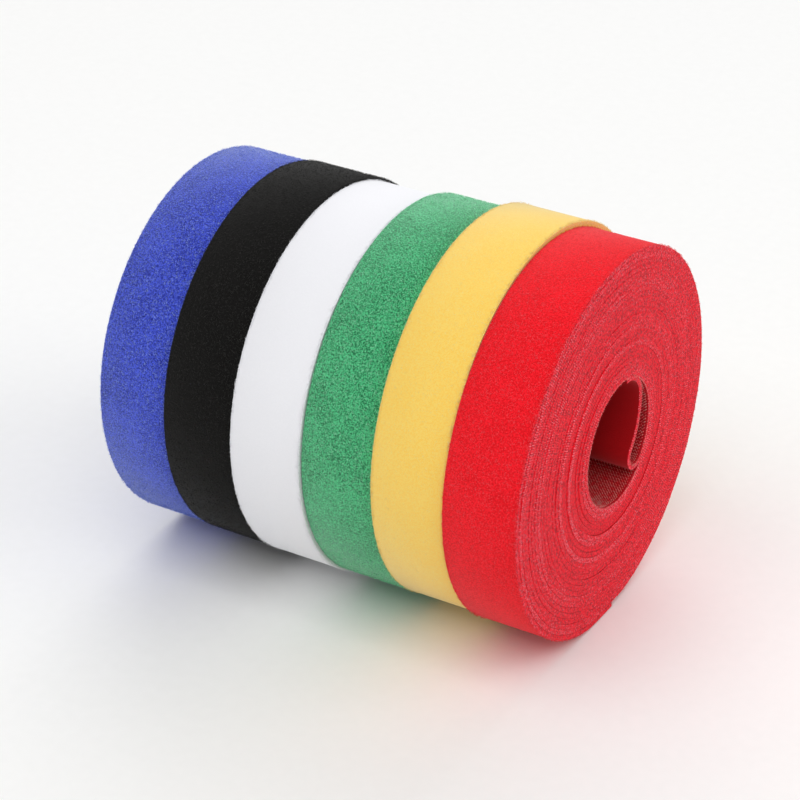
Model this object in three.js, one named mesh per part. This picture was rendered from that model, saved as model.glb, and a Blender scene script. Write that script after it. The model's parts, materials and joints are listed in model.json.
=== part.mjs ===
// Six rolls of back-to-back hook and loop tape, standing side by side on their rims.
// Each roll is one long tape wound on itself without a core: a loop-pile fabric glued
// back to back to a hook strip, with the loops outwards. The outer end of the tape peels
// up, and on the last roll the inner end folds back on itself inside the bore.
// Millimetres, +Z up, +X along the rolls' common axis, origin in the middle of the footprint.
import * as THREE from "three";

// The tape
const TAPE_WIDTH = 20;
const LOOP_THICKNESS = 0.4;
const GLUE_LINE = 0.05;
const HOOK_THICKNESS = 0.35;
const PILE_GAP = 0.572; // room between two turns, which the pile and the hooks fill

// The winding
const BORE_RADIUS = 16.75;
const TURNS = 24;
const START_STATION = 3; // where the inner end leaves the winding, in steps past the foot
const FREE_END_LENGTH = 29; // outer end of the tape that peels up
const BUTT_GAP = 0.3; // slit between two lengths of one tape
const ROLL_GAP = 0.3; // between neighbouring rolls

// The inner end of the last roll folds back in the bore with the hooks inside. Bends are shares
// of the bore's radius, and turns are in degrees: a negative bend curls towards the hooks.
const TAIL_ARCS = [
  { bend: -0.25, turn: 177, steps: 8 },
  { bend: 1.3, turn: 38, steps: 3 },
  { bend: 0.48, turn: 90, steps: 5 },
];

// Facets of a turn. One facet lies flat at the bottom and is the roll's foot.
const STEPS_PER_TURN = 18;
const STEP = (2 * Math.PI) / STEPS_PER_TURN;
const FOOT_ANGLE = -(Math.PI + STEP) / 2;

// The rolls from -X to +X. Slack is added to each turn's gap, seat moves the roll along Y, and
// wound turns are the outer ones that are modelled as tape over a plain mass of inner turns.
const ROLLS = [
  { name: "blue", colour: 0x4355c4, slack: -0.02, seat: 1.3, endAngle: 20, woundTurns: 1 },
  { name: "black", colour: 0x1c1b1a, slack: 0.0, seat: 0.8, endAngle: -25, woundTurns: 1 },
  { name: "white", colour: 0xe9e9ef, slack: -0.008, seat: 0.0, endAngle: 5, woundTurns: 1 },
  { name: "green", colour: 0x2e9d66, slack: 0.008, seat: 1.3, endAngle: -38, woundTurns: 1 },
  { name: "yellow", colour: 0xf6cd5c, slack: 0.056, seat: 1.45, endAngle: 30, woundTurns: 1 },
  {
    name: "red",
    colour: 0xdd1f2c,
    slack: 0.036,
    seat: 0.15,
    endAngle: -87,
    woundTurns: TURNS,
    boreShift: { y: 2.8, z: -0.9 },
  },
];

const TAPE_THICKNESS = LOOP_THICKNESS + GLUE_LINE + HOOK_THICKNESS;
const LAYERS = [
  { name: "loop", from: 0, to: LOOP_THICKNESS, roughness: 0.95 },
  { name: "hook", from: LOOP_THICKNESS + GLUE_LINE, to: TAPE_THICKNESS, roughness: 0.5 },
];

// Stations number the corners of the winding, with 0 at the start of the first foot.

// Turns that the winding has grown by at a station. It doesn't grow along a foot.
function grownTurns(station) {
  const whole = Math.floor(station / STEPS_PER_TURN);
  const feet = whole + Math.min(1, station - whole * STEPS_PER_TURN);
  return (station - feet) / (STEPS_PER_TURN - 1);
}

// Radius of the tape's outer face at a station.
function outerFace(roll, station) {
  const pitch = TAPE_THICKNESS + PILE_GAP + roll.slack;
  const grown = grownTurns(station) - grownTurns(START_STATION);
  return BORE_RADIUS + TAPE_THICKNESS + pitch * grown;
}

const FOOT_STATION = TURNS * STEPS_PER_TURN;
const footRadius = (roll) => outerFace(roll, FOOT_STATION);

// Middle of the winding at a radius. The bore may lie off the roll's own centre.
function windingCentre(roll, radius) {
  const { y, z } = roll.boreShift ?? { y: 0, z: 0 };
  const share = (footRadius(roll) - radius) / (footRadius(roll) - BORE_RADIUS);
  return new THREE.Vector2(y, z).multiplyScalar(share);
}

// Corner of the winding at a whole station, at a depth below the tape's outer face.
function corner(roll, station, depth) {
  const angle = FOOT_ANGLE + station * STEP;
  const face = outerFace(roll, station);
  const arm = new THREE.Vector2(Math.cos(angle), Math.sin(angle)).multiplyScalar(face - depth);
  return windingCentre(roll, face).add(arm);
}

// Point on the winding's facets at any station.
function facetPoint(roll, station, depth) {
  const whole = Math.floor(station);
  return corner(roll, whole, depth).lerp(corner(roll, whole + 1, depth), station - whole);
}

// Stations from one to another with every corner between them.
function stationsBetween(from, to) {
  const list = [from];
  for (let station = Math.floor(from) + 1; station < to; station += 1) list.push(station);
  return [...list, to];
}

// Length of tape as a number of stations on the outer turn.
const stationsIn = (roll, length) => length / (footRadius(roll) * STEP);

// The folded inner end as middle points of the tape, from its tip to the winding, each with the
// direction that its loop side faces.
function tailPoints(roll) {
  const point = corner(roll, START_STATION, TAPE_THICKNESS / 2);
  let heading = FOOT_ANGLE + START_STATION * STEP - Math.PI / 2;
  const points = [];
  for (const { bend, turn, steps } of TAIL_ARCS) {
    const radius = bend * BORE_RADIUS;
    const step = (Math.sign(bend) * THREE.MathUtils.degToRad(turn)) / steps;
    for (let i = 0; i < steps; i += 1) {
      const next = heading + step;
      point.x += radius * (Math.sin(next) - Math.sin(heading));
      point.y += radius * (Math.cos(heading) - Math.cos(next));
      heading = next;
      const loopSide = new THREE.Vector2(-Math.sin(heading), Math.cos(heading));
      points.unshift({ middle: point.clone(), loopSide });
    }
  }
  return points;
}

// Line along the tape at a depth below its outer face, with the folded inner end if asked for.
function tapeLine(roll, from, to, depth, withTail) {
  const tail = withTail ? tailPoints(roll) : [];
  const inset = TAPE_THICKNESS / 2 - depth;
  return [
    ...tail.map(({ middle, loopSide }) => middle.clone().addScaledVector(loopSide, inset)),
    ...stationsBetween(from, to).map((station) => facetPoint(roll, station, depth)),
  ];
}

// Outline of one layer of the tape, seen along the roll's axis.
function layerOutline(roll, layer, from, to, withTail) {
  const outside = tapeLine(roll, from, to, layer.from, withTail);
  const inside = tapeLine(roll, from, to, layer.to, withTail);
  return [...outside, ...inside.reverse()];
}

// Solid of an outline in the YZ plane, one tape width long along X, with the origin at a pivot.
function widthOfTape(outline, pivot = new THREE.Vector2(), holes = []) {
  const shape = new THREE.Shape(outline.map((point) => point.clone().sub(pivot)));
  shape.holes = holes.map((hole) => new THREE.Path(hole));
  const options = { depth: TAPE_WIDTH, bevelEnabled: false };
  const geometry = new THREE.ExtrudeGeometry(shape, options);
  geometry.rotateX(Math.PI / 2).rotateZ(Math.PI / 2);
  return geometry.translate(-TAPE_WIDTH / 2, 0, 0);
}

function tapeMesh(name, geometry, colour, roughness) {
  const material = new THREE.MeshStandardMaterial({ color: colour, roughness, metalness: 0 });
  const mesh = new THREE.Mesh(geometry, material);
  mesh.name = name;
  return mesh;
}

// Inner turns as one plain mass: the bore inside, and outside one turn with the step that the
// outer tape comes out of.
function innerTurns(roll, firstStation) {
  const last = firstStation - stationsIn(roll, BUTT_GAP);
  const outline = tapeLine(roll, firstStation - STEPS_PER_TURN, last, 0, false);
  const bore = [];
  for (let i = 0; i < STEPS_PER_TURN; i += 1) {
    const angle = FOOT_ANGLE + i * STEP;
    bore.push(new THREE.Vector2(Math.cos(angle), Math.sin(angle)).multiplyScalar(BORE_RADIUS));
  }
  return widthOfTape(outline, new THREE.Vector2(), [bore]);
}

// One roll about its own axis: the wound tape, the inner turns under it and the free outer end,
// whose group sits on the line that it peels about.
function makeRoll(roll) {
  const end = FOOT_STATION + (THREE.MathUtils.degToRad(roll.endAngle) - FOOT_ANGLE) / STEP;
  const peel = end - stationsIn(roll, FREE_END_LENGTH);
  const whole = roll.woundTurns >= TURNS;
  const start = whole ? START_STATION : peel - roll.woundTurns * STEPS_PER_TURN;
  const windingEnd = peel - stationsIn(roll, BUTT_GAP);
  const pivot = facetPoint(roll, peel, 0);

  const group = new THREE.Group();
  group.name = `${roll.name}_roll`;
  const freeEnd = new THREE.Group();
  freeEnd.name = `${roll.name}_free_end`;
  freeEnd.position.set(0, pivot.x, pivot.y);
  group.add(freeEnd);

  for (const layer of LAYERS) {
    const wound = widthOfTape(layerOutline(roll, layer, start, windingEnd, whole));
    group.add(tapeMesh(`${roll.name}_${layer.name}_tape`, wound, roll.colour, layer.roughness));
    const loose = widthOfTape(layerOutline(roll, layer, peel, end, false), pivot);
    freeEnd.add(tapeMesh(`${roll.name}_${layer.name}_end`, loose, roll.colour, layer.roughness));
  }
  if (!whole) {
    const mass = innerTurns(roll, start);
    group.add(tapeMesh(`${roll.name}_inner_turns`, mass, roll.colour, LAYERS[0].roughness));
  }
  return group;
}

// Least gap between the tape of a roll and itself, on corners and facet middles.
function leastGap(roll) {
  const middle = TAPE_THICKNESS / 2;
  const line = tapeLine(roll, START_STATION, FOOT_STATION, middle, true);
  const points = line.flatMap((point, i) =>
    i ? [point.clone().lerp(line[i - 1], 0.5), point] : [point],
  );
  let least = Infinity;
  points.forEach((point, i) => {
    for (let j = i + STEPS_PER_TURN; j < points.length; j += 1)
      least = Math.min(least, point.distanceTo(points[j]));
  });
  return least - TAPE_THICKNESS;
}

const rolls = new THREE.Group();
ROLLS.forEach((roll, i) => {
  const made = makeRoll(roll);
  const footDrop = footRadius(roll) * Math.cos(STEP / 2);
  made.position.set(i * (TAPE_WIDTH + ROLL_GAP), roll.seat, footDrop);
  rolls.add(made);
  if (roll.woundTurns >= TURNS)
    console.log(`${roll.name}: least gap between turns ${leastGap(roll).toFixed(3)} mm`);
});

// The origin is in the middle of the footprint.
const box = new THREE.Box3().setFromObject(rolls, true);
const centre = box.getCenter(new THREE.Vector3());
rolls.position.set(-centre.x, -centre.y, -box.min.z);

const set = new THREE.Group();
set.add(rolls);
export default set;
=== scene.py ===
"""Looks of a row of hook and loop tape rolls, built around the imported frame."""
import json
import math

import bmesh
import bpy
import numpy as np
from mathutils import Matrix, Vector


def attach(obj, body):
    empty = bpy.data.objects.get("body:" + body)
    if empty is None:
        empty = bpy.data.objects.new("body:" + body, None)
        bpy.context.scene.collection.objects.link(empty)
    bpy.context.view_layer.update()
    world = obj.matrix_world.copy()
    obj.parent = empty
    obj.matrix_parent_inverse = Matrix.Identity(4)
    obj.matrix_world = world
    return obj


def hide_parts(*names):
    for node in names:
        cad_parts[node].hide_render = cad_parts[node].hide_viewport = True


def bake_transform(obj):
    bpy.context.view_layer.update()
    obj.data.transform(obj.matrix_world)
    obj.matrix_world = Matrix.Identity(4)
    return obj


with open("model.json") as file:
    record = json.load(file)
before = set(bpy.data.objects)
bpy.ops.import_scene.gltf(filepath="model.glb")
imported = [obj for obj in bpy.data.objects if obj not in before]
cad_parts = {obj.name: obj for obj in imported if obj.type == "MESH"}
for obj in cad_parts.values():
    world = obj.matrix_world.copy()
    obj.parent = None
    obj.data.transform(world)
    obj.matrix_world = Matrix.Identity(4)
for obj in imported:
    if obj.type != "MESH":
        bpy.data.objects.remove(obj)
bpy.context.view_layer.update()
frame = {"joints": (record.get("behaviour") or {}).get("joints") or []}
joints = {joint["name"]: joint for joint in frame["joints"]}

# Sizes of the tape and its winding, in millimetres, as in the part's source
MM = 0.001
TAPE_WIDTH = 20
TAPE_THICKNESS = 0.8
PILE_GAP = 0.572
BORE_RADIUS = 16.75
TURNS = 24
START_STATION = 3
FREE_END_LENGTH = 29
ROLL_GAP = 0.3
TAIL_ARCS = ((-0.25, 177), (1.3, 38), (0.48, 90))
STEPS_PER_TURN = 18
STEP = math.tau / STEPS_PER_TURN
FOOT_ANGLE = -(math.pi + STEP) / 2
START_ANGLE = START_STATION * STEP
ROW_MIDDLE = joints["white_spin"]["pos_m"][1] / MM
MIDDLE_PLACE = 2.5  # of six rolls, counted from 0

# How finely the tape is followed, and how softly the floor presses it
SAMPLE = math.tau / 72
TAIL_SAMPLE = math.radians(4)
TANGENT_REACH = 0.2
PRESS_EASE = 0.12
PRESS_LIMIT = 1.2
SHARP_ANGLE = math.radians(35)

# Turns at the bore whose pile takes the full painted shade of the bore; it fades out over the next
# turn
SHADED_TURNS = 0.5

# Tape before the peel line that goes with the free end's pieces, and a reach along the tape past
# it
BUTT = 6.0
BEND = 9

# The weave's picks, the rows of hooks and the half width that pile and hooks cover
PICK = 0.64
HOOK_ROW = 0.42
HOOK_PITCH = 0.95
HOOK_ROOT = 0.05
BORE_HOOK, TIP_HOOK = 0.5, 0.26
NAP_EDGE = 9.5

# Bare tape at the free end's two cuts, on its pile side and on its hook side
PILE_MARGIN = 0.3
HOOK_MARGINS = (1, 0.6)

# Turns of the rim that the pile covers
RIM_TURNS = 1.02

# Pile, loose fuzz and cut yarns: how many fibres are on the rim and on the free end, their lengths
# and widths, how high they rise for their length, and how far they stay above the floor
RIM_PILE, TIP_PILE = 15500, 1750
PILE_LENGTHS, PILE_GIRTH, PILE_ROOT, PILE_CLEAR = (0.55, 1.15), 0.75, 0.04, 0.5
RIM_FUZZ, TIP_FUZZ = 4800, 525
FUZZ_LENGTHS, FUZZ_GIRTH, FUZZ_RISE, FUZZ_CLEAR = (0.45, 1.1), 0.5, 0.4, 1.2
FUZZ_MARGINS, FUZZ_DEPTHS = (0.05, 0.25), (-0.05, 0.25)
YARN_LENGTHS, YARN_GIRTH, YARN_RISE, YARN_CLEAR = (0.35, 0.8), 1.1, 0.35, 0.3
YARN_EDGE, YARN_SCATTER, YARN_JITTER, YARN_LEAN = 9.93, (-0.1, 0.06), (0.2, 0.8), 0.6
FACE_DEPTHS = (0.0, 1.3)
BORE_PICK, BORE_DEPTHS = 0.2, (1.0, 1.5)

# How dark the painted shade in the pits between cut yarns is, and on the pale rolls, whose nap is
# low
PIT_SHADE, PALE_PIT_SHADE, LOW_NAP = 0.5, 0.85, 0.1

# How far the tape's edges wander in and out on hidden ends and on an open end face: waves over the
# turns, waves over the tape's length, and rings
HIDDEN_RELIEF, FACE_RELIEF = 0.05, 0.22
TURN_WAVES, TURN_SHARE = (1.1, 0.47, 2.3), 0.15
LENGTH_WAVES, LENGTH_SHARE = (0.11, 0.047, 0.31), 0.12
PHASES = 8

# Groups of turns that stand in or out of an end face: middle, half width in turns, and share.
# Those that stand out show more of their pale yarn ends, most of all at one angle from the foot.
RING_ARC = math.radians(325)
RING_SWING = 0.35
RINGS = (
    (1.0, 1.3, 0.6), (4.3, 1.5, -1.6), (6.4, 0.6, 0.9), (8.3, 0.9, -0.8), (9.9, 0.6, 0.6),
    (13.0, 1.5, -0.3), (17.5, 1.2, 0.4), (23.0, 1.0, 0.5),
)

# First number of the rolls' random draws
SEED = 100


class Roll:
    """Where the tape of one roll runs, about the roll's own axis."""

    def __init__(
        self, place, name, slack, seat, end_angle, open_side=0, bore_shift=(0, 0), tail=False
    ):
        self.name = name
        self.pitch = TAPE_THICKNESS + PILE_GAP + slack
        first_growth = (START_STATION - 1) / (STEPS_PER_TURN - 1)
        self.foot_radius = BORE_RADIUS + TAPE_THICKNESS + self.pitch * (TURNS - first_growth)
        self.centre = np.array(
            (
                (place - MIDDLE_PLACE) * (TAPE_WIDTH + ROLL_GAP),
                seat + ROW_MIDDLE,
                self.foot_radius * math.cos(STEP / 2),
            )
        )
        self.open_side = open_side
        self.bore_shift = np.array(bore_shift)
        self.tail = tail
        self.tail_length = 0.0
        self.end = TURNS * math.tau + math.radians(end_angle) - FOOT_ANGLE
        self.peel = self.end - FREE_END_LENGTH / self.foot_radius
        self.random = np.random.default_rng(SEED + place)
        self.phases = self.random.uniform(0, math.tau, PHASES)

    def wound(self, run):
        """Points on the outer face of the tape and their outward directions, for turn angles."""
        radius = BORE_RADIUS + TAPE_THICKNESS + self.pitch * ((run - START_ANGLE) / math.tau)
        angle = FOOT_ANGLE + run
        out = np.stack((np.cos(angle), np.sin(angle)), -1)
        share = (self.foot_radius - radius) / (self.foot_radius - BORE_RADIUS)
        return self.bore_shift * share[:, None] + radius[:, None] * out, out

    def folded(self):
        """The inner end that folds back in the bore, from its tip to the winding."""
        start, out = self.wound(np.array((START_ANGLE,)))
        point = start[0] - out[0] * TAPE_THICKNESS / 2
        heading = FOOT_ANGLE + START_ANGLE - math.pi / 2
        points, sides = [], []
        for bend, turn in TAIL_ARCS:
            steps = round(math.radians(turn) / TAIL_SAMPLE * max(1, abs(bend)))
            for _ in range(steps):
                turned = heading + math.copysign(math.radians(turn) / steps, bend)
                point = point + bend * BORE_RADIUS * np.array(
                    (
                        math.sin(turned) - math.sin(heading),
                        math.cos(heading) - math.cos(turned),
                    )
                )
                heading = turned
                side = np.array((-math.sin(heading), math.cos(heading)))
                points.insert(0, point + side * TAPE_THICKNESS / 2)
                sides.insert(0, side)
        return np.array(points), np.array(sides)

    def route(self, first, last):
        """Outer face of the tape from one turn angle to another, with the fold where it starts."""
        count = max(2, round((last - first) / SAMPLE)) + 1
        points, sides = self.wound(np.linspace(first, last, count))
        if self.tail and first == START_ANGLE:
            tail_points, tail_sides = self.folded()
            steps = np.diff(np.concatenate((tail_points, points[:1])), axis=0)
            self.tail_length = float(np.hypot(*steps.T).sum())
            points = np.concatenate((tail_points, points))
            sides = np.concatenate((tail_sides, sides))
        return Route(self, points, sides)

    def settle(self, points):
        """Presses what is under the roll flat on the floor."""
        reach = np.hypot(points[:, 1], points[:, 2])
        share = np.clip((reach - BORE_RADIUS) / (self.foot_radius - BORE_RADIUS), 0, PRESS_LIMIT)
        level = reach * (1 - (1 - math.cos(STEP / 2)) * share**2)
        drop = -points[:, 2]
        eased = -PRESS_EASE * np.logaddexp(-drop / PRESS_EASE, -level / PRESS_EASE)
        points[:, 2] = np.where(points[:, 2] < 0, -eased, points[:, 2])
        return points

    def turns(self, length):
        """Turns of the winding up to a length along the tape."""
        wound = np.maximum(length - self.tail_length, 0)
        return (np.sqrt(BORE_RADIUS**2 + wound * self.pitch / math.pi) - BORE_RADIUS) / self.pitch

    def rings(self, length):
        """How far the turn at a length along the tape stands out, as a share."""
        turns = self.turns(length)
        rings = sum(
            out * np.exp(-(((turns - middle) / width) ** 4)) for middle, width, out in RINGS
        )
        return rings * (1 - RING_SWING + RING_SWING * np.cos(turns * math.tau - RING_ARC))

    def edge_shift(self, length, side):
        """How far the tape's edge stands out of the roll's end face, along its length."""
        turns = self.turns(length)
        phases = self.phases if side > 0 else self.phases[::-1]
        slow = sum(np.sin(turns * rate + p) for rate, p in zip(TURN_WAVES, phases))
        rest = phases[len(TURN_WAVES):]
        quick = sum(np.sin(length * rate + p) for rate, p in zip(LENGTH_WAVES, rest))
        relief = FACE_RELIEF if side == self.open_side else HIDDEN_RELIEF
        return relief * (TURN_SHARE * slow + LENGTH_SHARE * quick + self.rings(length))


class Route:
    """A stretch of tape: points on its outer face, outward directions and lengths along it."""

    def __init__(self, roll, points, sides):
        self.roll, self.points, self.sides = roll, points, sides
        steps = np.hypot(*np.diff(points, axis=0).T)
        self.lengths = np.concatenate(((0,), np.cumsum(steps)))
        self.offset = 0.0

    def at(self, length, across, depth):
        """Places tape coordinates, in millimetres, in the frame, in metres."""
        index = np.interp(length, self.lengths, np.arange(len(self.lengths)))
        low = np.clip(index.astype(int), 0, len(self.lengths) - 2)
        part = (index - low)[:, None]
        point = self.points[low] * (1 - part) + self.points[low + 1] * part
        side = self.sides[low] * (1 - part) + self.sides[low + 1] * part
        side /= np.linalg.norm(side, axis=1, keepdims=True)
        flat = point - side * depth[:, None]
        placed = np.column_stack((across, flat))
        return (self.roll.settle(placed) + self.roll.centre) * MM

    def tangents(self, length):
        """Directions along the tape."""
        zero = np.zeros_like(length)
        ahead = self.at(length + TANGENT_REACH, zero, zero)
        behind = self.at(length - TANGENT_REACH, zero, zero)
        along = ahead - behind
        return along / np.linalg.norm(along, axis=1, keepdims=True)

    def axes(self, length):
        """Directions along the tape, across it and out of its pile."""
        along = self.tangents(length)
        across = np.tile((1.0, 0.0, 0.0), (len(length), 1))
        return along, across, np.cross(along, across)


# Meshes

def piece_from(name, bm, materials):
    """A piece in the scene from a finished bmesh."""
    mesh = bpy.data.meshes.new(name)
    bm.to_mesh(mesh)
    bm.free()
    return piece_of(name, mesh, materials)


def piece_of(name, mesh, materials):
    """A piece in the scene from a mesh, smoothly shaded."""
    for material in materials:
        mesh.materials.append(material)
    mesh.polygons.foreach_set("use_smooth", np.ones(len(mesh.polygons), bool))
    piece = bpy.data.objects.new(name, mesh)
    bpy.context.scene.collection.objects.link(piece)
    return piece


def coordinates(mesh):
    """The places of a mesh's corners."""
    flat = np.empty(len(mesh.vertices) * 3, np.float32)
    mesh.vertices.foreach_get("co", flat)
    return flat.reshape(-1, 3).astype(float)


def straight_tape(section, samples):
    """A straight strip with the given section, one unit long for each sample."""
    bm = bmesh.new()
    count = len(section)
    bmesh.ops.create_grid(bm, x_segments=count, y_segments=samples - 1, size=0.5)
    seam = []
    for vert in bm.verts:
        column = round((vert.co.x + 0.5) * count)
        across, depth = section[column % count]
        vert.co = (across, round((vert.co.y + 0.5) * (samples - 1)), -depth)
        if column in (0, count):
            seam.append(vert)
    bmesh.ops.remove_doubles(bm, verts=seam, dist=0.001)
    bmesh.ops.holes_fill(bm, edges=[edge for edge in bm.edges if edge.is_boundary], sides=0)
    bmesh.ops.recalc_face_normals(bm, faces=bm.faces)
    return bm


def wound_tape(name, route, section, material):
    """Winds a straight strip along a route."""
    roll = route.roll
    piece = piece_from(name, straight_tape(section, len(route.lengths)), [material])
    mesh = piece.data
    flat = coordinates(mesh)
    length = route.lengths[np.rint(flat[:, 1]).astype(int)]
    run = length + route.offset
    shift = np.where(flat[:, 0] > 0, roll.edge_shift(run, 1), roll.edge_shift(run, -1))
    placed = route.at(length, flat[:, 0] + shift, -flat[:, 2] * roll.pitch)
    mesh.vertices.foreach_set("co", placed.astype(np.float32).ravel())
    corners = np.empty(len(mesh.loops), np.int32)
    mesh.loops.foreach_get("vertex_index", corners)
    lay = np.column_stack((flat[:, 0], run))[corners] * MM
    mesh.uv_layers.new(name="tape").data.foreach_set("uv", lay.astype(np.float32).ravel())
    # Painted shade: the pile of the first turns and of the folded tail in the bore is darkened
    bore_shade = 1 - np.clip(roll.turns(run) - SHADED_TURNS, 0, 1)
    for label, values in (("rings", roll.rings(run)), ("bore_shade", bore_shade)):
        mesh.attributes.new(label, "FLOAT", "POINT").data.foreach_set(
            "value", values.astype(np.float32)
        )
    mesh.update()
    mesh.set_sharp_from_angle(angle=SHARP_ANGLE)
    return piece


def pointed(bm, ring, tip):
    """Closes a ring of corners to a point."""
    point = bm.verts.new(tip)
    for i, corner in enumerate(ring):
        bm.faces.new((corner, ring[(i + 1) % len(ring)], point))


def fibre():
    """A short arch of pile, one unit long and one high, pointed at both ends."""
    bm = bmesh.new()
    ring = bmesh.ops.create_circle(bm, cap_ends=False, segments=3, radius=0.08)["verts"]
    bmesh.ops.rotate(bm, verts=ring, matrix=Matrix.Rotation(math.pi / 2, 3, "Y"))
    bmesh.ops.translate(bm, verts=ring, vec=(0, 0, 0.9))
    for tip in ((-0.5, 0, 0), (0.5, 0, 0.1)):
        pointed(bm, ring, tip)
    return template(bm)


def hook():
    """A moulded hook, one unit high, bent over at its tip."""
    bm = bmesh.new()
    bmesh.ops.create_circle(bm, cap_ends=True, segments=3, radius=0.3)
    grown = bmesh.ops.extrude_edge_only(bm, edges=bm.edges[:])["geom"]
    top = [item for item in grown if isinstance(item, bmesh.types.BMVert)]
    bmesh.ops.translate(bm, verts=top, vec=(0.15, 0, 0.9))
    pointed(bm, top, (0.75, 0, 0.7))
    return template(bm)


def template(bm):
    """Corners and triangles of a small shape."""
    bmesh.ops.recalc_face_normals(bm, faces=bm.faces)
    bmesh.ops.triangulate(bm, faces=bm.faces)
    bm.verts.index_update()
    points = np.array([vert.co[:] for vert in bm.verts])
    faces = np.array([[vert.index for vert in face.verts] for face in bm.faces])
    bm.free()
    return points, faces


def stamped(name, shape, origins, along, across, up, material):
    """One mesh of many copies of a small shape, each with its own axes."""
    points, faces = shape
    placed = (
        origins[:, None, :]
        + points[None, :, 0, None] * along[:, None, :]
        + points[None, :, 1, None] * across[:, None, :]
        + points[None, :, 2, None] * up[:, None, :]
    )
    corners = faces[None] + (np.arange(len(origins)) * len(points))[:, None, None]
    mesh = bpy.data.meshes.new(name)
    mesh.vertices.add(placed.shape[0] * placed.shape[1])
    mesh.vertices.foreach_set("co", placed.astype(np.float32).ravel())
    mesh.loops.add(corners.size)
    mesh.loops.foreach_set("vertex_index", corners.astype(np.int32).ravel())
    mesh.polygons.add(corners.shape[0] * corners.shape[1])
    mesh.polygons.foreach_set("loop_start", np.arange(0, corners.size, 3, dtype=np.int32))
    mesh.update(calc_edges=True)
    return piece_of(name, mesh, [material])


def scaled(vectors, sizes):
    """Directions times sizes in millimetres."""
    return vectors * (np.broadcast_to(sizes, len(vectors)) * MM)[:, None]


def brushed_pile(name, route, first, last, count, nap, material):
    """Loops of pile that stand on the outer face of a stretch of tape."""
    rng = route.roll.random
    length = rng.uniform(first, last, count)
    across = rng.uniform(-NAP_EDGE, NAP_EDGE, count)
    origins = route.at(length, across, np.full(count, PILE_ROOT))
    clear = origins[:, 2] > PILE_CLEAR * MM
    origins, length = origins[clear], length[clear]
    along, sideways, out = route.axes(length)
    yaw = rng.uniform(0, math.tau, len(length))[:, None]
    lie = along * np.cos(yaw) + sideways * np.sin(yaw)
    size = rng.uniform(*PILE_LENGTHS, len(length))
    return stamped(
        name, fibre(), origins, scaled(lie, size), scaled(np.cross(out, lie), PILE_GIRTH),
        scaled(out, nap * size), material,
    )


def cut_yarns(name, route, last, pick, depths, material):
    """Cut yarn ends along the open edge of a stretch of tape, over a range of depths in it."""
    roll, rng, side = route.roll, route.roll.random, route.roll.open_side
    count = int(last / pick)
    length = (np.arange(count) + rng.uniform(*YARN_JITTER, count)) * pick
    depth = rng.uniform(*depths, count)
    across = side * (YARN_EDGE + rng.uniform(*YARN_SCATTER, count))
    across += roll.edge_shift(length + route.offset, side)
    origins = route.at(length, across, depth)
    clear = origins[:, 2] > YARN_CLEAR * MM
    origins, length = origins[clear], length[clear]
    along, sideways, out = route.axes(length)
    lean = rng.normal(math.pi / 2, YARN_LEAN, len(length))[:, None]
    lie = along * np.cos(lean) + out * np.sin(lean)
    up = sideways * side
    size = rng.uniform(*YARN_LENGTHS, len(length))
    return stamped(
        name, fibre(), origins, scaled(lie, size), scaled(np.cross(up, lie), YARN_GIRTH),
        scaled(up, YARN_RISE * size), material,
    )


def edge_fuzz(name, route, first, last, count, material):
    """Short loose yarns that soften both edges of the rim and stay clear of the next roll."""
    rng = route.roll.random
    length = rng.uniform(first, last, count)
    size = rng.uniform(*FUZZ_LENGTHS, count)
    yaw = rng.uniform(0, math.tau, count)
    side = np.where(rng.random(count) < 0.5, -1.0, 1.0)
    reach = 0.5 * size * np.abs(np.sin(yaw)) + rng.uniform(*FUZZ_MARGINS, count)
    across = side * ((TAPE_WIDTH + ROLL_GAP) / 2 - reach)
    origins = route.at(length, across, rng.uniform(*FUZZ_DEPTHS, count))
    clear = origins[:, 2] > FUZZ_CLEAR * MM
    along, sideways, out = route.axes(length)
    lie = along * np.cos(yaw)[:, None] + sideways * np.sin(yaw)[:, None]
    girth = scaled(np.cross(out, lie), FUZZ_GIRTH)
    axes = (scaled(lie, size), girth, scaled(out, FUZZ_RISE * size))
    return stamped(name, fibre(), origins[clear], *(axis[clear] for axis in axes), material)


def hook_rows(name, route, first, last, height, material):
    """Rows of hooks on the inner face of a stretch of tape, each row turned against the next."""
    rows = np.arange(-NAP_EDGE, NAP_EDGE + 0.1, HOOK_ROW)
    stations = np.arange(first, last, HOOK_PITCH)
    length, across = (grid.ravel() for grid in np.meshgrid(stations, rows, indexing="ij"))
    odd = np.rint((across + NAP_EDGE) / HOOK_ROW).astype(int) % 2
    length = np.minimum(length + odd * HOOK_PITCH / 2, last)
    origins = route.at(length, across, np.full(len(length), route.roll.pitch - HOOK_ROOT))
    along, _, out = route.axes(length)
    lie = along * (1 - 2 * odd)[:, None]
    return stamped(
        name, hook(), origins, scaled(lie, height), scaled(np.cross(-out, lie), height),
        scaled(-out, height), material,
    )


# Finishes. Grains are in bumps per metre, and depths in metres.

# Half width of the tape over which its face turns into its cut edge
CUT_EDGE = (0.00985, 0.00995)

class Shade:
    """The nodes of a material or of the world."""

    def __init__(self, owner):
        owner.use_nodes = True
        self.tree = owner.node_tree
        self.tree.nodes.clear()

    def node(self, kind, settings=None, sockets=None, output=0):
        """Adds a node: its settings first, then the values or links of its sockets."""
        made = self.tree.nodes.new(kind)
        for key, value in (settings or {}).items():
            setattr(made, key, value)
        for key, value in (sockets or {}).items():
            if isinstance(value, Value):
                self.tree.links.new(value.socket, made.inputs[key])
            else:
                made.inputs[key].default_value = value
        return Value(self, made.outputs[output]) if len(made.outputs) else None


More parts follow.
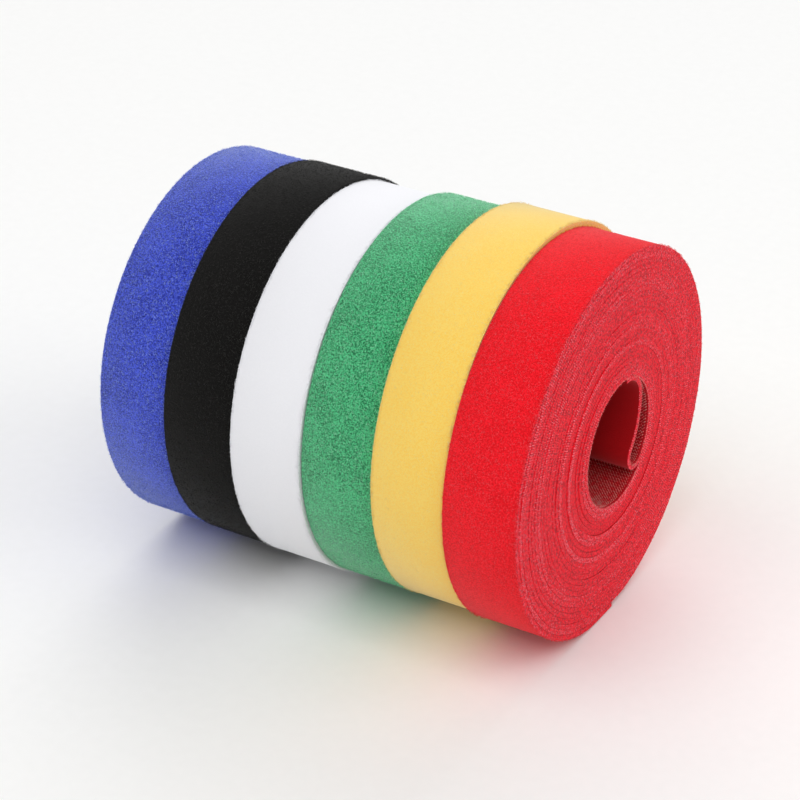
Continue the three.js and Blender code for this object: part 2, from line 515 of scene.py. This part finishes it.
class Finish(Shade):
    """A material under way."""

    def __init__(self, name):
        self.material = bpy.data.materials.new(name)
        super().__init__(self.material)
        self.place = self.node("ShaderNodeTexCoord", output="Object")

    def grain(self, scale, detail=1.0):
        return self.node(
            "ShaderNodeTexNoise", None, {"Vector": self.place, "Scale": scale, "Detail": detail}
        )

    def mixed(self, share, first, second):
        return self.node(
            "ShaderNodeMix", {"data_type": "RGBA"}, {0: share, 6: first, 7: second}, 2
        )

    def attribute(self, label):
        return self.node("ShaderNodeAttribute", {"attribute_name": label}, output="Fac")

    def tape_lay(self):
        """Places across the tape and along it, in metres."""
        lay = self.node("ShaderNodeUVMap", {"uv_map": "tape"})
        return [self.node("ShaderNodeSeparateXYZ", None, {0: lay}, axis) for axis in ("X", "Y")]

    def surfaced(
        self, colour, roughness, height, depth, gloss=0.12, sheen=0.0, tint=(1, 1, 1, 1)
    ):
        """Ends the finish with a matt surface and gives its material."""
        bump = self.node(
            "ShaderNodeBump", None, {"Strength": 0.7, "Distance": depth, "Height": height}
        )
        surface = self.node(
            "ShaderNodeBsdfPrincipled", None,
            {
                "Base Color": colour, "Roughness": roughness, "Normal": bump,
                "Specular IOR Level": gloss, "Sheen Weight": sheen, "Sheen Roughness": 0.5,
                "Sheen Tint": tint,
            },
        )
        self.node("ShaderNodeOutputMaterial", None, {"Surface": surface})
        return self.material


class Value:
    """A socket, on which arithmetic adds Math nodes."""

    def __init__(self, shade, socket):
        self.shade, self.socket = shade, socket

    def math(self, operation, other=0.0):
        return self.shade.node("ShaderNodeMath", {"operation": operation}, {0: self, 1: other})

    def __add__(self, other):
        return self.math("ADD", other)

    def __mul__(self, other):
        return self.math("MULTIPLY", other)

    def __abs__(self):
        return self.math("ABSOLUTE")

    def wave(self):
        """A wave from 0 to 1."""
        return self.math("SINE") * 0.5 + 0.5

    def ramp(self, low, high):
        """From 0 to 1, eased, as the value goes from low to high."""
        return self.shade.node(
            "ShaderNodeMapRange", {"interpolation_type": "SMOOTHSTEP"}, {0: self, 1: low, 2: high}
        )


def linear(code):
    """Linear colour of a screen colour."""
    parts = [((code >> bits) & 255) / 255 for bits in (16, 8, 0)]
    light = [part / 12.92 if part < 0.04045 else ((part + 0.055) / 1.055) ** 2.4 for part in parts]
    return (*light, 1.0)


def darker(colour, share):
    """A share of a colour's light."""
    return (*[share * part for part in colour[:3]], 1.0)


def soft_tint(colour):
    """A colour part of the way to white, for the light that the tips of a pile catch."""
    return (*[0.3 + 0.7 * part for part in colour[:3]], 1.0)


def with_cut_edges(finish, across, along, colour, edge, pit_shade, yarn):
    """A tape's colour with its cut edges: pits darkened by painted shade, and pale ends of the
    weave's picks, more of them on rings."""
    rings = finish.attribute("rings")
    picks = (along * (math.tau / (PICK * MM))).wave()
    # Painted shade: dark specks stand in for the shade in the pits between the cut yarn ends
    shaded_pits = (finish.grain(2100.0) + picks * 0.1).ramp(0.56, 0.42)
    ends = (finish.grain(2300.0) * 0.8 + picks * 0.2 + rings * 0.16).ramp(0.66, 0.72)
    cut = finish.mixed(ends, finish.mixed(shaded_pits, edge, pit_shade), yarn)
    return finish.mixed(abs(across).ramp(*CUT_EDGE), colour, cut)


def pile_finish(name, deep, bright, tip, edge, pit_shade, yarn, sheen, nap):
    """Brushed pile, mottled by its tufts, with painted shade on the inner turns in the bore."""
    finish = Finish(name)
    curls, tufts, patches = finish.grain(3600.0), finish.grain(2200.0, 3.0), finish.grain(90.0)
    tone = (curls * 0.5 + tufts * 0.4 + patches * 0.1).ramp(0.42, 0.58)
    pile = finish.mixed(tone, deep, bright)
    # Painted shade: the bore's inner turns mix toward half the deep pile colour
    face = finish.mixed(finish.attribute("bore_shade"), pile, darker(deep, 0.5))
    colour = with_cut_edges(finish, *finish.tape_lay(), face, edge, pit_shade, yarn)
    height = curls * 0.5 + tufts * 0.5
    return finish.surfaced(
        colour, roughness=0.95, height=height, depth=nap * MM, sheen=sheen, tint=soft_tint(tip)
    )


def yarn_finish(name, deep, bright):
    """Cut yarn ends, with a pale one here and there."""
    finish = Finish(name)
    ends = finish.grain(1300.0)
    tone = (ends * 0.75 + finish.grain(160.0) * 0.25).ramp(0.62, 0.7)
    colour = finish.mixed(tone, deep, bright)
    return finish.surfaced(
        colour, roughness=0.85, height=ends, depth=0.0001, sheen=0.05, tint=bright
    )


def tip_finish(name, bright, tip, sheen):
    """Brushed-up tips of the pile and loose yarns, which catch the light."""
    finish = Finish(name)
    curls = finish.grain(1600.0)
    colour = finish.mixed(curls.ramp(0.35, 0.6), bright, tip)
    return finish.surfaced(
        colour, roughness=0.95, height=curls, depth=0.00005, sheen=sheen, tint=soft_tint(tip)
    )


def backing_finish(name, strip, edge, pit_shade, yarn):
    """The hook strip, with ribs that run along the tape under its rows of hooks."""
    finish = Finish(name)
    across, along = finish.tape_lay()
    ribs = (across * (math.tau / (HOOK_ROW * MM))).wave()
    grain = finish.grain(1800.0)
    tone = (grain * 0.65 + ribs * 0.35).ramp(0.3, 0.8)
    face = finish.mixed(tone, darker(strip, 0.6), strip)
    colour = with_cut_edges(finish, across, along, face, edge, pit_shade, yarn)
    roughness = finish.grain(400.0) * 0.2 + 0.45
    height = ribs * 0.6 + grain * 0.4
    return finish.surfaced(colour, roughness, height, depth=0.00015, gloss=0.2)


def hook_finish(name, deep, bright):
    """Drawn nylon of the hooks, paler than their strip."""
    finish = Finish(name)
    grain = finish.grain(900.0)
    colour = finish.mixed(grain.ramp(0.35, 0.6), deep, bright)
    roughness = finish.grain(300.0) * 0.2 + 0.5
    return finish.surfaced(colour, roughness, height=grain, depth=0.00005)


# The rolls

# Sections of the webs: across the tape in millimetres, and shares of a turn's depth
LOOP_SECTION = (
    (-9.99, 0.64), (9.99, 0.64), (10.03, 0.56), (10.04, 0.22), (10.02, 0.04), (9.93, 0.0),
    (-9.93, 0.0), (-10.02, 0.04), (-10.04, 0.22), (-10.03, 0.56),
)
HOOK_SECTION = (
    (-9.99, 0.985), (9.99, 0.985), (10.03, 0.96), (10.02, 0.645), (-10.02, 0.645), (-10.03, 0.96),
)

# From -X to +X: slack of a turn and seat along Y in millimetres, and the free end's angle
ROLLS = (
    Roll(0, "blue", -0.02, 1.3, 20, open_side=-1),
    Roll(1, "black", 0.0, 0.8, -25),
    Roll(2, "white", -0.008, 0.0, 5),
    Roll(3, "green", 0.008, 1.3, -38),
    Roll(4, "yellow", 0.056, 1.45, 30),
    Roll(5, "red", 0.036, 0.15, -87, open_side=1, bore_shift=(2.8, -0.9), tail=True),
)

# Screen colours of the pile (deep, bright, tips), of the cut edge and its pale yarns, of the strip
# and of the hooks (deep, bright), then the pile's sheen and the height of its nap
LOOKS = {
    "blue": {
        "pile": (0x0E1A88, 0x4B5FE4, 0x98B2FF), "edge": (0x3444B8, 0x8090EE),
        "strip": 0x2C3AA0, "hooks": (0x5A6AD6, 0xB4C0FA), "sheen": 1.0, "nap": 0.42,
    },
    "black": {
        "pile": (0x0A0908, 0x141312, 0x302F2D), "edge": (0x100F0E, 0x262523),
        "strip": 0x0E0D0C, "hooks": (0x2A2928, 0x5C5B58), "sheen": 0.28, "nap": 0.36,
    },
    "white": {
        "pile": (0xF2F2F6, 0xF4F4F8, 0xF5F5F9), "edge": (0xEEEEF2, 0xF8F8FB),
        "strip": 0xDEDEE4, "hooks": (0xEAEAEF, 0xFCFCFE), "sheen": 0.1, "nap": 0.04,
    },
    "green": {
        "pile": (0x08663A, 0x56CC8C, 0xA0FACA), "edge": (0x26925A, 0x80D8AE),
        "strip": 0x1E7A48, "hooks": (0x4CAE7C, 0xB6ECD2), "sheen": 1.0, "nap": 0.42,
    },
    "yellow": {
        "pile": (0xFFD05A, 0xFFDA6E, 0xFFE89C), "edge": (0xFFD868, 0xFFF0B4),
        "strip": 0xE6B848, "hooks": (0xF2CC6C, 0xFFF0C4), "sheen": 1.0, "nap": 0.06,
    },
    "red": {
        "pile": (0xE00A16, 0xFF1E2C, 0xFF545E), "edge": (0xF6102A, 0xFF8292),
        "strip": 0xE41626, "hooks": (0xFF5A62, 0xFFA8A2), "sheen": 0.36, "nap": 0.12,
    },
}


def finishes_of(name):
    """The finishes of one roll: pile, tips of the pile, cut yarns, hook strip and hooks."""
    look = LOOKS[name]
    sheen, nap = look["sheen"], look["nap"]
    deep, bright, tip = map(linear, look["pile"])
    edge, yarn = map(linear, look["edge"])
    # The pit colour is painted shade, lighter on the pale rolls
    pit_shade = darker(edge, PALE_PIT_SHADE if nap < LOW_NAP else PIT_SHADE)
    return (
        pile_finish(f"{name}_pile", deep, bright, tip, edge, pit_shade, yarn, sheen, nap),
        tip_finish(f"{name}_tips", bright, tip, sheen),
        yarn_finish(f"{name}_yarn", edge, yarn),
        backing_finish(f"{name}_backing", linear(look["strip"]), edge, pit_shade, yarn),
        hook_finish(f"{name}_nylon", *map(linear, look["hooks"])),
    )


def dress(roll):
    """All the pieces of one roll."""
    name, nap = roll.name, LOOKS[roll.name]["nap"]
    body, free = f"{name}_roll", f"{name}_free_end"
    pile, tips, ends, backing, nylon = finishes_of(name)

    butt = roll.peel - BUTT / roll.foot_radius
    winding = roll.route(START_ANGLE, butt)
    tip = roll.route(butt, roll.end)
    total, tip_total = winding.lengths[-1], tip.lengths[-1]
    tip.offset = total
    turn = math.tau * roll.foot_radius
    bore = roll.tail_length + math.tau * (BORE_RADIUS + roll.pitch)

    loop_web = wound_tape(f"{name}_loop_web", winding, LOOP_SECTION, pile)
    hook_web = wound_tape(f"{name}_hook_web", winding, HOOK_SECTION, backing)
    rim = total - turn * RIM_TURNS
    loose = [
        brushed_pile(f"{name}_rim_pile", winding, rim, total, RIM_PILE, nap, tips),
        edge_fuzz(f"{name}_rim_fuzz", winding, total - turn, total, RIM_FUZZ, tips),
    ]
    rows = [hook_rows(f"{name}_bore_hooks", winding, 0, bore, BORE_HOOK, nylon)]
    if roll.open_side:
        loose.append(cut_yarns(f"{name}_face_yarns", winding, total, PICK, FACE_DEPTHS, ends))
        rows.append(cut_yarns(f"{name}_bore_edge", winding, bore, BORE_PICK, BORE_DEPTHS, nylon))
    for piece in (loop_web, hook_web, *rows, *loose):
        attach(piece, body)
    inner = [] if roll.tail else [f"{name}_inner_turns"]
    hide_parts(f"{name}_loop_tape", *inner)
    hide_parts(f"{name}_hook_tape")

    loop_tip = wound_tape(f"{name}_loop_tip", tip, LOOP_SECTION, pile)
    hook_tip = wound_tape(f"{name}_hook_tip", tip, HOOK_SECTION, backing)
    pile_end, hook_end = tip_total - PILE_MARGIN, tip_total - HOOK_MARGINS[1]
    tip_pile = brushed_pile(f"{name}_tip_pile", tip, PILE_MARGIN, pile_end, TIP_PILE, nap, tips)
    tip_fuzz = edge_fuzz(f"{name}_tip_fuzz", tip, 0, tip_total, TIP_FUZZ, tips)
    hook_start = BUTT + HOOK_MARGINS[0]
    tip_rows = hook_rows(f"{name}_tip_hooks", tip, hook_start, hook_end, TIP_HOOK, nylon)
    ahead = Vector(tip.tangents(np.array((BUTT,)))[0]) * BEND * MM
    blended = [
        (loop_tip, "loop"), (tip_pile, "loop"), (tip_fuzz, "loop"), (hook_tip, "hook"),
        (tip_rows, "hook"),
    ]
    if roll.open_side:
        yarns = cut_yarns(f"{name}_tip_yarns", tip, tip_total, PICK, FACE_DEPTHS, ends)
        blended.append((yarns, "loop"))
    for piece, slot in blended:
        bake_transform(piece)
    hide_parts(f"{name}_loop_end")
    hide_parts(f"{name}_hook_end")


for each_roll in ROLLS:
    dress(each_roll)


# Floor, light and camera, in metres, watts and degrees

FLOOR_HALF, FLOOR_DROP = 3.0, 0.0003
ROOM_LIGHT = 0.42
LAMP_AIM = (0, 0, 0.05)
LAMPS = (
    ("overhead", (0.05, -0.95, 1.85), (2.4, 1.6), 22.0),
    ("back", (-1.0, 2.6, 2.2), (3.0, 2.0), 33.0),
    ("low_back", (-1.6, 4.3, 1.2), (4.0, 1.8), 36.0),
    ("right", (2.2, 0.5, 1.9), (2.0, 1.6), 15.5),
)
CAMERA_TURN, CAMERA_LIFT, CAMERA_REACH = 30.70, 30.19, 0.7137
CAMERA_TARGET = (-0.00085, ROW_MIDDLE * MM, 0.04459)
CAMERA_LENS, CAMERA_SENSOR = 124.3, 36.0


def make_floor():
    finish = Finish("floor_paper")
    fibres = finish.grain(300.0)
    colour = finish.mixed(fibres, linear(0xF7F7F6), linear(0xFAFAF9))
    material = finish.surfaced(colour, roughness=0.9, height=fibres, depth=0.00002)
    bm = bmesh.new()
    bmesh.ops.create_grid(bm, x_segments=4, y_segments=4, size=FLOOR_HALF)
    bmesh.ops.translate(bm, verts=bm.verts, vec=(0, 0, -FLOOR_DROP))
    piece_from("floor", bm, [material])


def light_room():
    world = bpy.data.worlds.new("studio")
    bpy.context.scene.world = world
    shade = Shade(world)
    seen = shade.node("ShaderNodeLightPath", output="Is Camera Ray")
    room = shade.node(
        "ShaderNodeBackground", None, {"Color": (1, 1, 1, 1), "Strength": ROOM_LIGHT}
    )
    backdrop = shade.node(
        "ShaderNodeBackground", None, {"Color": linear(0xFAFAFA), "Strength": 1.0}
    )
    both = shade.node("ShaderNodeMixShader", None, {0: seen, 1: room, 2: backdrop})
    shade.node("ShaderNodeOutputWorld", None, {"Surface": both})
    for name, place, size, power in LAMPS:
        hang_lamp(name, place, size, power)


def hang_lamp(name, place, size, power):
    lamp = bpy.data.lights.new(name, "AREA")
    lamp.shape, lamp.energy = "RECTANGLE", power
    lamp.size, lamp.size_y = size
    lamp_object = bpy.data.objects.new(name, lamp)
    lamp_object.location = place
    aim = Vector(LAMP_AIM) - lamp_object.location
    lamp_object.rotation_euler = aim.to_track_quat("-Z", "Y").to_euler()
    bpy.context.scene.collection.objects.link(lamp_object)


def set_camera():
    turn, lift = math.radians(CAMERA_TURN), math.radians(CAMERA_LIFT)
    back = Vector(
        (math.sin(turn) * math.cos(lift), -math.cos(turn) * math.cos(lift), math.sin(lift))
    )
    view = bpy.data.cameras.new("view")
    view.lens, view.sensor_width = CAMERA_LENS, CAMERA_SENSOR
    camera = bpy.data.objects.new("view", view)
    camera.location = Vector(CAMERA_TARGET) + back * CAMERA_REACH
    camera.rotation_euler = back.to_track_quat("Z", "Y").to_euler()
    bpy.context.scene.collection.objects.link(camera)
    bpy.context.scene.camera = camera


make_floor()
light_room()
set_camera()
bpy.context.scene.view_settings.view_transform = "Standard"
